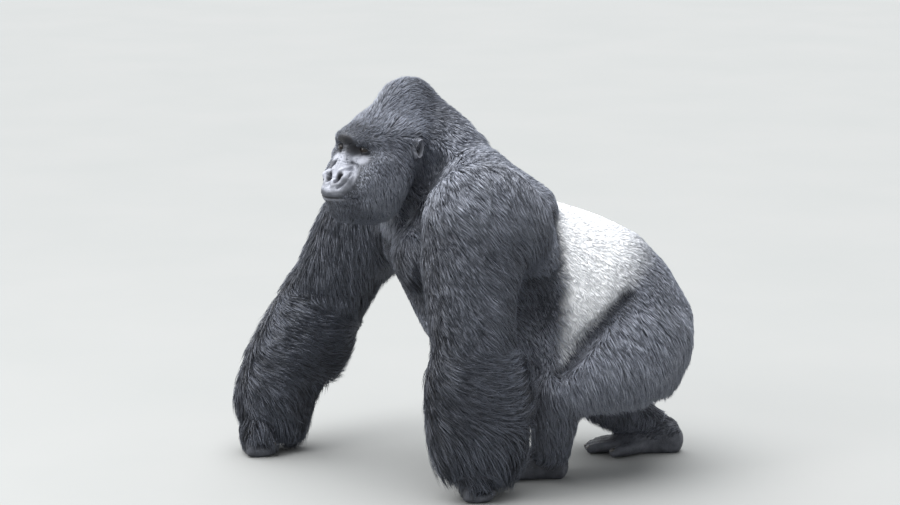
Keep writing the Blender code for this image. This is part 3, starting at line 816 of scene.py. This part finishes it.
def greyness(points, nodes, groove, chest):
    """How grey the black coat is, darkened with painted shade in the hollows, behind the jaw, under the chin
    and in the gaps and creases.
    """
    head = to_head(points)
    cheek = ease(0.035, 0.07, np.abs(head[:, 1])) * ease(0.03, -0.03, head[:, 2])
    # the extra grey on the tops of the shoulders and on the cheeks is partly grizzled hair and partly painted
    # light where they face the light from above
    grey = part_values(nodes, GREY) + 0.55 * shoulder_share(points, nodes)
    grey += 0.7 * cheek * of_kind(nodes, "head")
    # painted shade in the hollow behind the near elbow, behind the jaw and under the chin; black hair on the
    # brow
    for place in (*SHADED_BODY, *DARK_AND_SHADED_HEAD):
        grey = grey * (1 - 0.9 * bell(reach_from(points, place[:3], place[3:]), power=3))
    elbow = of_kind(nodes, "upper_arm") * ease(0.58, 0.4, points[:, 2])
    # painted shade: the coat goes black in the gaps and creases
    return grey * (1 - 0.9 * groove) * (1 - 0.95 * chest) * (1 - 0.8 * elbow)


def coat_fields(surface, nodes, normals):
    """The coat over the skin: its locks' depth, length, width and number, its grey, and how deep in a gap."""
    points = surface.points
    reach = face_reach(points)
    grown = ease(0.95, 2.6, reach)
    ground = ease(0.03, 0.075, points[:, 2])
    ears = surface.relax(of_kind(nodes, "ear").astype(float), 6)
    chest = ease(0.1, 0.6, -normals[:, 0]) * ease(0.4, 0.5, points[:, 2])
    chest = surface.relax(chest * of_kind(nodes, "trunk"), 20)
    wrist = surface.relax(wrist_share(points, nodes), 10)
    fringe = np.zeros(len(points))
    mine = nodes == FLESH.index("forearm_left")
    fringe[mine] = ease(0.35, 0.9, limb_offset(points[mine], "forearm_left"))
    fringe = surface.relax(fringe, 10)
    # the jaw gap and the creases, where the coat gets shorter, flatter locks and painted shade
    groove = np.max([in_jaw_gap(points)] + [share for _, _, share in in_creases(points)], axis=0)
    grey = greyness(points, nodes, groove, chest)
    # the skin under the coat takes the same grey, painted shade included
    write_fields(surface.mesh, {"grey": grey})

    usual = [surface.relax(part_values(nodes, column), 30) for column in (DEPTH, LENGTH, WIDTH, NUMBER)]
    depth, length, width, per_area = usual
    bushy = 1 + (2.1 - 1.3 * (points[:, 1] > 0)) * wrist + 1.2 * fringe
    kept = (1 - 0.92 * np.clip(ears * 1.5, 0, 1)) * (1 - 0.6 * chest) * ground
    return {
        "depth": depth * (0.15 + 0.85 * grown) * (0.3 + 0.7 * ground) * (1 - 0.5 * chest) * bushy,
        "length": length * (0.22 + 0.78 * grown) * (0.55 + 0.45 * ground) * (1 - 0.5 * chest)
        * (1 + 0.3 * wrist + 0.25 * fringe),
        "width": width * (0.6 + 0.4 * grown) * (0.7 + 0.3 * ground),
        "per_area": per_area * ease(0.95, 1.25, reach) * (1 + 0.8 * (1 - grown)) * kept,
        "grey": surface.relax(np.minimum(grey, 1.0), 20),
        "groove": groove,
    }


def grow_coat(surface, nodes, material):
    rng = np.random.default_rng(7)
    normals = surface.normals()
    triangles = surface.triangles()
    tree = surface.tree(triangles)
    heading = lie_of_hair(surface, nodes, normals)
    coat = coat_fields(surface, nodes, normals)

    roots = Roots(surface, triangles, coat["per_area"], rng)
    count = len(roots.face)
    place = roots.read(surface.points)
    pale, deep = silver(place), roots.read(coat["groove"])
    growth = roots.read(coat["length"]) * rng.uniform(*LENGTHS, count) * (1 + 0.18 * wander(place, 0.06, 3))
    growth *= (1 - SILVER_SHORT * pale) * (1 - GROOVE_SHORT * deep)
    lift = roots.read(coat["depth"]) * rng.uniform(*LIFTS, count)
    lift *= (1 - SILVER_FLAT * pale) * (1 - GROOVE_FLAT * deep)
    thick = roots.read(coat["width"]) * rng.uniform(*WIDTHS, count)
    normal, course = unit(roots.read(normals)), unit(roots.read(heading))
    # each lock's random tone, darkened with painted shade in the gaps and creases
    shade = rng.random(count) * (1 - GROOVE_SHADE * deep)
    fields = {"shade": shade, "silver": pale, "grey": roots.read(coat["grey"])}
    home = nodes[roots.corners[:, 0]]
    for index, name in enumerate(FLESH):
        mine = np.flatnonzero(home == index)
        if not len(mine):
            continue
        shape = BENT if COAT[kind(name)][BENDS] else PLAIN
        start = place[mine], normal[mine], course[mine]
        lines, upward = spines(start, triangles, tree, heading, growth[mine], lift[mine], shape[0], rng)
        lines = draw_together(lines, shape[0], rng)
        lines[:, :, 2] = np.maximum(lines[:, :, 2], FLOOR_CLEAR)
        _, centre, axis = long_axis(name)
        order = np.argsort((place[mine] - centre) @ axis)
        for part, own in enumerate(np.array_split(order, -(-len(order) // PIECE_LIMIT))):
            label = f"coat_{name}" if len(mine) <= PIECE_LIMIT else f"coat_{name}_{part + 1}"
            taken = mine[own]
            mesh = lock_mesh(
                label, lines[own], upward[own], thick[taken], unwrapped(place[taken], axis, centre), shape,
                {key: value[taken] for key, value in fields.items()},
            )
            finish_mesh(mesh, material)
            obj = new_object(label, mesh)
            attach(obj, "root")


# ---- eyes
GAZE = unit(FORWARD + 0.04 * UP)
CORNEA = 0.001  # how far the cornea stands out
CORNEA_EDGE = 0.62  # its edge, in radians from the gaze


def make_eye(node, material):
    """An eyeball with a raised cornea; its field "turn" is the angle from the gaze."""
    work = bmesh.new()
    bmesh.ops.create_uvsphere(work, u_segments=48, v_segments=36, radius=EYE_RADIUS)
    mesh = from_bmesh(work, "globe_" + node)
    surface = Surface(mesh)
    turn = np.arccos(np.clip(surface.points[:, 2] / EYE_RADIUS, -1, 1))
    surface.points *= (1 + CORNEA / EYE_RADIUS * ease(CORNEA_EDGE, 0.0, turn))[:, None]
    turned = np.array(Vector(GAZE).to_track_quat("Z", "Y").to_matrix())
    surface.points = surface.points @ turned.T + middle(node)
    surface.write()
    write_fields(mesh, {"turn": turn})
    finish_mesh(mesh, material)
    eye = new_object("globe_" + node, mesh)
    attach(eye, "root")
    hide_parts(node)


# ---- nails
# heel, and tip of the longest toe, of the feet; the floor under the wrists; which way is outward
FEET = (((0.2555, -0.111), (-0.0125, -0.083), -1), ((0.6135, 0.084), (0.3375, 0.114), 1))
HANDS = (((-0.0175, -0.253), -1), ((-0.5405, 0.237), 1))
NAIL_ROWS, NAIL_COLUMNS = 7, 7
NAIL_THICK = 0.0012
FINGER_NAIL, TOE_NAIL = (0.0135, 0.0125), (0.0135, 0.0125)  # width and length
THUMB_NAIL, BIG_TOE_NAIL = (0.0135, 0.013), (0.018, 0.015)


def nail_places():
    """Each nail's middle, the way it points, the way it faces, and its size."""
    for heel, toe, side in FEET:
        heel, toe = np.array((*heel, 0.0)), np.array((*toe, 0.0))
        length = np.linalg.norm(toe - heel)
        run = (toe - heel) / length
        out = np.array((-run[1], run[0], 0))
        out *= np.sign(out[1] * side)
        for i in range(4):
            reach = 1.0 - 0.03 * abs(i - 0.7) ** 1.5
            spot = heel + run * (length * reach - 0.0005) + out * ((i - 1.1) * 0.0235)
            yield spot + UP * 0.016, run, unit(UP + 0.35 * run), TOE_NAIL
        spot = heel + run * (length * 0.76 - 0.001) - out * 0.072
        yield spot + UP * 0.018, run, unit(UP + 0.35 * run), BIG_TOE_NAIL
    for (x, y), side in HANDS:
        forward, out = np.array((-1.0, 0, 0)), np.array((0, float(side), 0))
        for i in range(4):
            root = np.array((x, y, 0.0705)) + forward * (0.01 - 0.004 * abs(i - 1.5))
            root += out * ((i - 1.5) * 0.031)
            spot = root - forward * 0.036 - UP * 0.047
            yield spot, unit(UP - 0.9 * forward), unit(-forward - 0.9 * UP), FINGER_NAIL
        thumb = np.array((x, y, 0.085)) - out * 0.058 + np.array((0.028, 0, -0.045))
        yield thumb, unit(np.array((0.35, 0, -1.0))), unit(-out + 0.3 * forward), THUMB_NAIL


def nail_side(work, middle_at, axes, size, drop):
    """One side of a nail, as rows of corners from its root to its tip."""
    ahead, aside, up = axes
    width, length = size
    rows = []
    for t in np.linspace(0, 1, NAIL_ROWS).tolist():
        wide = width / 2 * (0.8 + 0.35 * t) * math.sqrt(max(1 - (max(t - 0.55, 0) / 0.47) ** 2, 0.05))
        row = []
        for s in np.linspace(-1, 1, NAIL_COLUMNS).tolist():
            height = 0.0013 - 0.0034 * (s * wide * 2 / width) ** 2 - 0.0016 * t * t - drop
            spot = middle_at + aside * (s * wide) + ahead * ((t - 0.5) * length) + up * height
            row.append(work.verts.new(spot))
        rows.append(row)
    return rows


def outline(rows):
    """The corners once round a side of a nail."""
    return rows[0] + [row[-1] for row in rows[1:]] + rows[-1][-2::-1] + [row[0] for row in rows[-2:0:-1]]


def make_nails(surface, material):
    """Thin curved plates laid on the tips of the fingers and toes, as one mesh."""
    tree = surface.tree(surface.triangles())
    work = bmesh.new()
    for middle_at, run, facing, size in nail_places():
        hit, normal = tree.ray_cast(Vector(middle_at + facing * 0.03), Vector(-facing), 0.06)[:2]
        if hit is None:
            hit, normal = tree.find_nearest(Vector(middle_at))[:2]
        up = unit(np.array(normal) + facing)
        ahead = unit(run - up * (run @ up))
        axes = ahead, np.cross(ahead, up), up
        top, bottom = (nail_side(work, np.array(hit), axes, size, drop) for drop in (0.0, NAIL_THICK))
        for j in range(NAIL_ROWS - 1):
            for i in range(NAIL_COLUMNS - 1):
                work.faces.new((top[j][i], top[j][i + 1], top[j + 1][i + 1], top[j + 1][i]))
                work.faces.new((bottom[j + 1][i], bottom[j + 1][i + 1], bottom[j][i + 1], bottom[j][i]))
        upper, lower = outline(top), outline(bottom)
        for k in range(len(upper)):
            work.faces.new((upper[k], upper[k - 1], lower[k - 1], lower[k]))
    bmesh.ops.recalc_face_normals(work, faces=work.faces)
    mesh = from_bmesh(work, "nails")
    finish_mesh(mesh, material)
    nails = new_object("nails", mesh)
    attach(nails, "root")


# ---- materials


class Paint:
    """A node material, built by small calls. Colours are linear."""

    def __init__(self, name, **constants):
        self.material = bpy.data.materials.new(name)
        self.material.use_nodes = True
        self.tree = self.material.node_tree
        self.shader = self.tree.nodes["Principled BSDF"]
        self.set(**constants)
        self.space = self.node("TexCoord").outputs["Object"]

    def node(self, what, *values, **inputs):
        node = self.tree.nodes.new("ShaderNode" + what)
        for key, value in (*enumerate(values), *inputs.items()):
            self.feed(node.inputs[key], value)
        return node

    def feed(self, socket, value):
        if isinstance(value, bpy.types.NodeSocket):
            self.tree.links.new(value, socket)
        elif isinstance(value, tuple) and socket.type == "RGBA":
            socket.default_value = (*value, 1.0)
        else:
            socket.default_value = value

    def field(self, name):
        node = self.node("Attribute")
        node.attribute_name = name
        return node.outputs["Fac"]

    def mix(self, factor, low, high, blend="MIX"):
        node = self.node("Mix")
        node.data_type = "RGBA"
        node.blend_type = blend
        for index, value in ((0, factor), (6, low), (7, high)):
            self.feed(node.inputs[index], value)
        return node.outputs[2]

    def ramp(self, value, low, high, start=0.0, end=1.0):
        """Turns a value between low and high into one between start and end."""
        return self.node("MapRange", value, low, high, start, end).outputs[0]

    def noise(self, scale, detail=3.0, space=None):
        return self.node("TexNoise", Scale=scale, Detail=detail, Vector=space or self.space).outputs[0]

    def cells(self, scale, feature="F1"):
        node = self.node("TexVoronoi", Scale=scale, Vector=self.space)
        node.feature = feature
        return node.outputs["Distance"]

    def bump(self, height, distance, strength, before=None):
        links = {"Normal": before} if before else {}
        return self.node("Bump", Distance=distance, Strength=strength, Height=height, **links).outputs[0]

    def set(self, **inputs):
        for key, value in inputs.items():
            self.feed(self.shader.inputs[key.replace("_", " ")], value)


def coat_paint():
    sheen = {"Sheen_Weight": 0.25, "Sheen_Roughness": 0.45, "Sheen_Tint": (0.72, 0.8, 1.0)}
    paint = Paint("coat", Specular_IOR_Level=0.42, **sheen)
    shade = paint.field("shade")
    black = paint.mix(paint.ramp(shade, 0.2, 1.0), (0.005, 0.0055, 0.007), (0.08, 0.085, 0.103))
    grizzled = paint.mix(shade, (0.12, 0.127, 0.147), (0.41, 0.43, 0.488))
    dark = paint.mix(paint.field("grey"), black, grizzled)
    pale = paint.mix(shade, (0.86, 0.862, 0.87), (0.97, 0.97, 0.97))
    # painted shade: each lock darkens towards its root, deep in the coat, on the black and the silver hair
    # alike
    root_shade = paint.ramp(paint.field("along"), 0.0, 0.6, 0.65, 0.0)
    dark = paint.mix(root_shade, dark, (0.35, 0.35, 0.4), "MULTIPLY")
    patch = paint.ramp(paint.noise(28), 0.35, 0.7, 0.45, 0.0)
    dark = paint.mix(patch, dark, (0.45, 0.46, 0.5), "MULTIPLY")
    colour = paint.mix(paint.field("silver"), dark, paint.mix(root_shade, pale, (0.88, 0.88, 0.89), "MULTIPLY"))
    paint.set(
        Base_Color=colour,
        Roughness=paint.ramp(paint.noise(90), 0.3, 0.7, 0.38, 0.62),
        Normal=paint.bump(paint.noise(1400, 2.0), 0.0004, 0.35),
    )
    return paint.material


def skin_paint():
    paint = Paint("hide", Specular_IOR_Level=0.25)
    mottle = paint.ramp(paint.noise(45, 5.0), 0.3, 0.7)
    black = paint.mix(mottle, (0.02, 0.022, 0.028), (0.042, 0.046, 0.058))
    grizzled = paint.mix(mottle, (0.04, 0.043, 0.05), (0.085, 0.09, 0.104))
    dark = paint.mix(paint.field("grey"), black, grizzled)
    silvery = paint.mix(mottle, (0.72, 0.722, 0.73), (0.9, 0.9, 0.9))
    furred = paint.mix(paint.field("silver"), dark, silvery)
    bare = paint.mix(mottle, (0.04, 0.042, 0.049), (0.078, 0.082, 0.095))
    # painted highlight colour for the nose, lips, bridge, below the eyes and the ears' rims
    light = paint.mix(mottle, (0.19, 0.196, 0.224), (0.355, 0.366, 0.412))
    bare = paint.mix(paint.field("pale"), bare, light)
    # painted shade in the eye sockets, nostrils, mouth and ears' bowls, over the brow's dark skin
    bare = paint.mix(paint.field("shade_and_dark_skin"), bare, (0.014, 0.014, 0.017))
    paint.set(Base_Color=paint.mix(paint.field("bare"), furred, bare))
    paint.set(Roughness=paint.ramp(paint.noise(160, 4.0), 0.3, 0.7, 0.34, 0.58))
    pores = paint.bump(paint.cells(620), 0.001, 0.6)
    creased = paint.bump(paint.cells(190, "DISTANCE_TO_EDGE"), 0.0016, 0.5, pores)
    paint.set(Normal=paint.bump(paint.noise(75, 6.0), 0.004, 0.45, creased))
    return paint.material


def nail_paint():
    paint = Paint("horn", Specular_IOR_Level=0.5)
    along = paint.node("Mapping", Vector=paint.space, Scale=(0.15, 1.0, 1.0)).outputs[0]
    streaks = paint.noise(320, 4.0, along)
    paint.set(
        Base_Color=paint.mix(paint.ramp(streaks, 0.3, 0.7), (0.018, 0.016, 0.015), (0.06, 0.054, 0.048)),
        Roughness=paint.ramp(streaks, 0.3, 0.7, 0.25, 0.45),
        Normal=paint.bump(streaks, 0.0004, 0.5),
    )
    return paint.material


# the eye's colours by angle from the gaze, in radians: pupil, iris, dark ring, white
EYE_BANDS = ((0.0, (0.0, 0.0, 0.0)), (0.17, (0.0, 0.0, 0.0)), (0.2, (0.014, 0.006, 0.003)),
             (0.44, (0.01, 0.005, 0.003)), (0.5, (0.003, 0.002, 0.002)), (0.62, (0.014, 0.009, 0.007)),
             (1.2, (0.006, 0.004, 0.003)))


def eye_paint():
    wet = {"Coat_Weight": 0.8, "Coat_Roughness": 0.02, "Coat_IOR": 1.38}
    paint = Paint("eyeball", Roughness=0.35, Specular_IOR_Level=0.1, **wet)
    node = paint.node("ValToRGB")
    span = EYE_BANDS[-1][0]
    bands = node.color_ramp.elements
    while len(bands) < len(EYE_BANDS):
        bands.new(0.5)
    for band, (angle, colour) in zip(bands, EYE_BANDS):
        band.position, band.color = angle / span, (*colour, 1.0)
    paint.feed(node.inputs[0], paint.ramp(paint.field("turn"), 0.0, span))
    fibres = paint.ramp(paint.noise(900, 3.0), 0.35, 0.65, 0.8, 0.0)
    paint.set(Base_Color=paint.mix(fibres, node.outputs[0], (0.35, 0.3, 0.28), "MULTIPLY"))
    return paint.material


# painted highlights on the nose, lips, bridge and below the eyes, and darker skin with painted shade, on the
# left half of the face, in the head's coordinates
PAINTED_HIGHLIGHTS = metres((
    (190, 12, -46, 50, 36, 40),  # nose
    (205, 4, -84, 50, 30, 9),  # upper lip
    (140, 34, -19, 45, 30, 10),  # below the eye
    (160, 0, -20, 40, 15, 20),  # bridge
    (210, 15, -114, 40, 30, 4),  # lower lip
))
DARK_SKIN_AND_SHADE = metres((
    (136, 36, 10, 40, 34, 15),  # around the eye, painted shade in the socket over dark skin
    (150, 0, 40, 50, 60, 22),  # brow
    (195, 16, -59, 40, 8, 14),  # nostril, painted shade
    (200, 0, -108.5, 60, 46, 3),  # mouth, painted shade between the lips
))


def zone(head, places):
    """1 in the middle of some places, and 0 away from them."""
    left_half = np.abs(head * (0, 1, 0)) + head * (1, 0, 1)
    return ease(1.55, 0.5, nearest_reach(left_half, places))


def ear_ring(head):
    """How far each point is from an ear's middle, where its edge is about 1, and whether it is on one."""
    centre, rise = to_head(middle("ear_left")), half_height("ear_left")
    ring = np.hypot((head[:, 0] - centre[0]) / (rise * EAR_WIDE), head[:, 2] / rise)
    return ring, (ring < 1.3) & (np.abs(head[:, 1]) > abs(centre[1]) - EAR_THICK)


def paint_skin(surface, nodes):
    points = surface.points
    head = to_head(points)
    face = 1 - ease(0.9, 1.3, face_reach(points))
    hairless = of_kind(nodes, "hand", "foot", "ear").astype(float)
    on_head = of_kind(nodes, "head")
    ring, on_ear = ear_ring(head)
    # painted highlight on each ear's rim and painted shade in its bowl
    rim = on_ear * (0.08 + 0.5 * ease(0.62, 0.8, ring))
    bowl = on_ear * ease(0.66, 0.5, ring)
    write_fields(surface.mesh, {
        "bare": np.maximum(face, surface.relax(hairless, 4)),
        # painted highlight on the face and on the ears' rims
        "pale": np.maximum(zone(head, PAINTED_HIGHLIGHTS) * on_head, surface.relax(rim, 1)),
        # painted shade in the eye sockets, nostrils, mouth and ears' bowls, and the brow's dark skin
        "shade_and_dark_skin": np.maximum(zone(head, DARK_SKIN_AND_SHADE) * on_head, surface.relax(bowl, 1)),
        "silver": silver(points),
    })


SKIN_KEPT = 0.6  # share of the skin's triangles that is kept


def thinned(mesh):
    """The skin with fewer triangles under the coat. Bare skin keeps all of its own."""
    points = Surface(mesh).points
    bare = in_face_or_ears(points, 0.125, 0.05) | (points[:, 2] < LOW)
    skin = new_object("thick skin", mesh)
    covered = skin.vertex_groups.new(name="covered")
    covered.add(np.flatnonzero(~bare).tolist(), 1.0, "REPLACE")
    thin = skin.modifiers.new("thin out", "DECIMATE")
    thin.ratio, thin.vertex_group = SKIN_KEPT, covered.name
    return evaluated(skin)


# ---- the animal
mesh, flesh_tree, flesh_owner = make_skin()
surface = shape_face(mesh)
nodes = owners(surface, flesh_tree, flesh_owner)
paint_skin(surface, nodes)
finish_mesh(mesh, skin_paint())
grow_coat(surface, nodes, coat_paint())
eye_material = eye_paint()
for node in EYES:
    make_eye(node, eye_material)
make_nails(surface, nail_paint())
skin = new_object("skin", thinned(mesh))
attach(skin, "root")
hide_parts(*FLESH)

# ---- floor, light, camera
FAR = 30.0  # how far the floor reaches
floor_mesh = bpy.data.meshes.new("floor")
floor_mesh.from_pydata([(-FAR, -FAR, 0), (FAR, -FAR, 0), (FAR, FAR, 0), (-FAR, FAR, 0)], [], [(0, 1, 2, 3)])
floor = new_object("floor", floor_mesh)
floor_paint = Paint("studio floor", Roughness=0.9, Specular_IOR_Level=0.2)
floor_paint.set(Base_Color=floor_paint.mix(floor_paint.noise(1.5), (0.21, 0.215, 0.21), (0.23, 0.23, 0.225)))
floor_mesh.materials.append(floor_paint.material)


def add_light(name, what, spot, aim, power, colour):
    light = new_object(name, bpy.data.lights.new(name, what))
    light.data.energy, light.data.color = power, colour
    light.location = spot
    light.rotation_euler = (Vector(aim) - light.location).to_track_quat("-Z", "Y").to_euler()
    return light.data


add_light("sky", "SUN", (-0.8, 0.6, 4.6), (0.0, 0.0, 0.5), 7.4, (0.98, 0.99, 1.0)).angle = 1.3
add_light("fill", "AREA", (-3.6, -1.4, 3.2), (-0.2, 0.0, 0.7), 110, (1.0, 1.0, 1.0)).size = 1.6
scene = bpy.context.scene
scene.world = bpy.data.worlds.new("world")
scene.view_settings.view_transform = "Standard"
scene.world.use_nodes = True
background = scene.world.node_tree.nodes["Background"]
background.inputs["Color"].default_value = (0.93, 0.96, 1.0, 1)
background.inputs["Strength"].default_value = 1.05

CAMERA_AWAY, CAMERA_AIM = 6.58, Vector((-0.0528, 0.009, 0.5918))
azimuth, rise = math.radians(-8.0), math.radians(12.0)
back = Vector((math.sin(azimuth) * math.cos(rise), -math.cos(azimuth) * math.cos(rise), math.sin(rise)))
camera = new_object("camera", bpy.data.cameras.new("camera"))
camera.data.lens = 100
camera.data.sensor_width = 36
camera.location = CAMERA_AIM + back * CAMERA_AWAY
camera.rotation_euler = back.to_track_quat("Z", "Y").to_euler()
scene.camera = camera
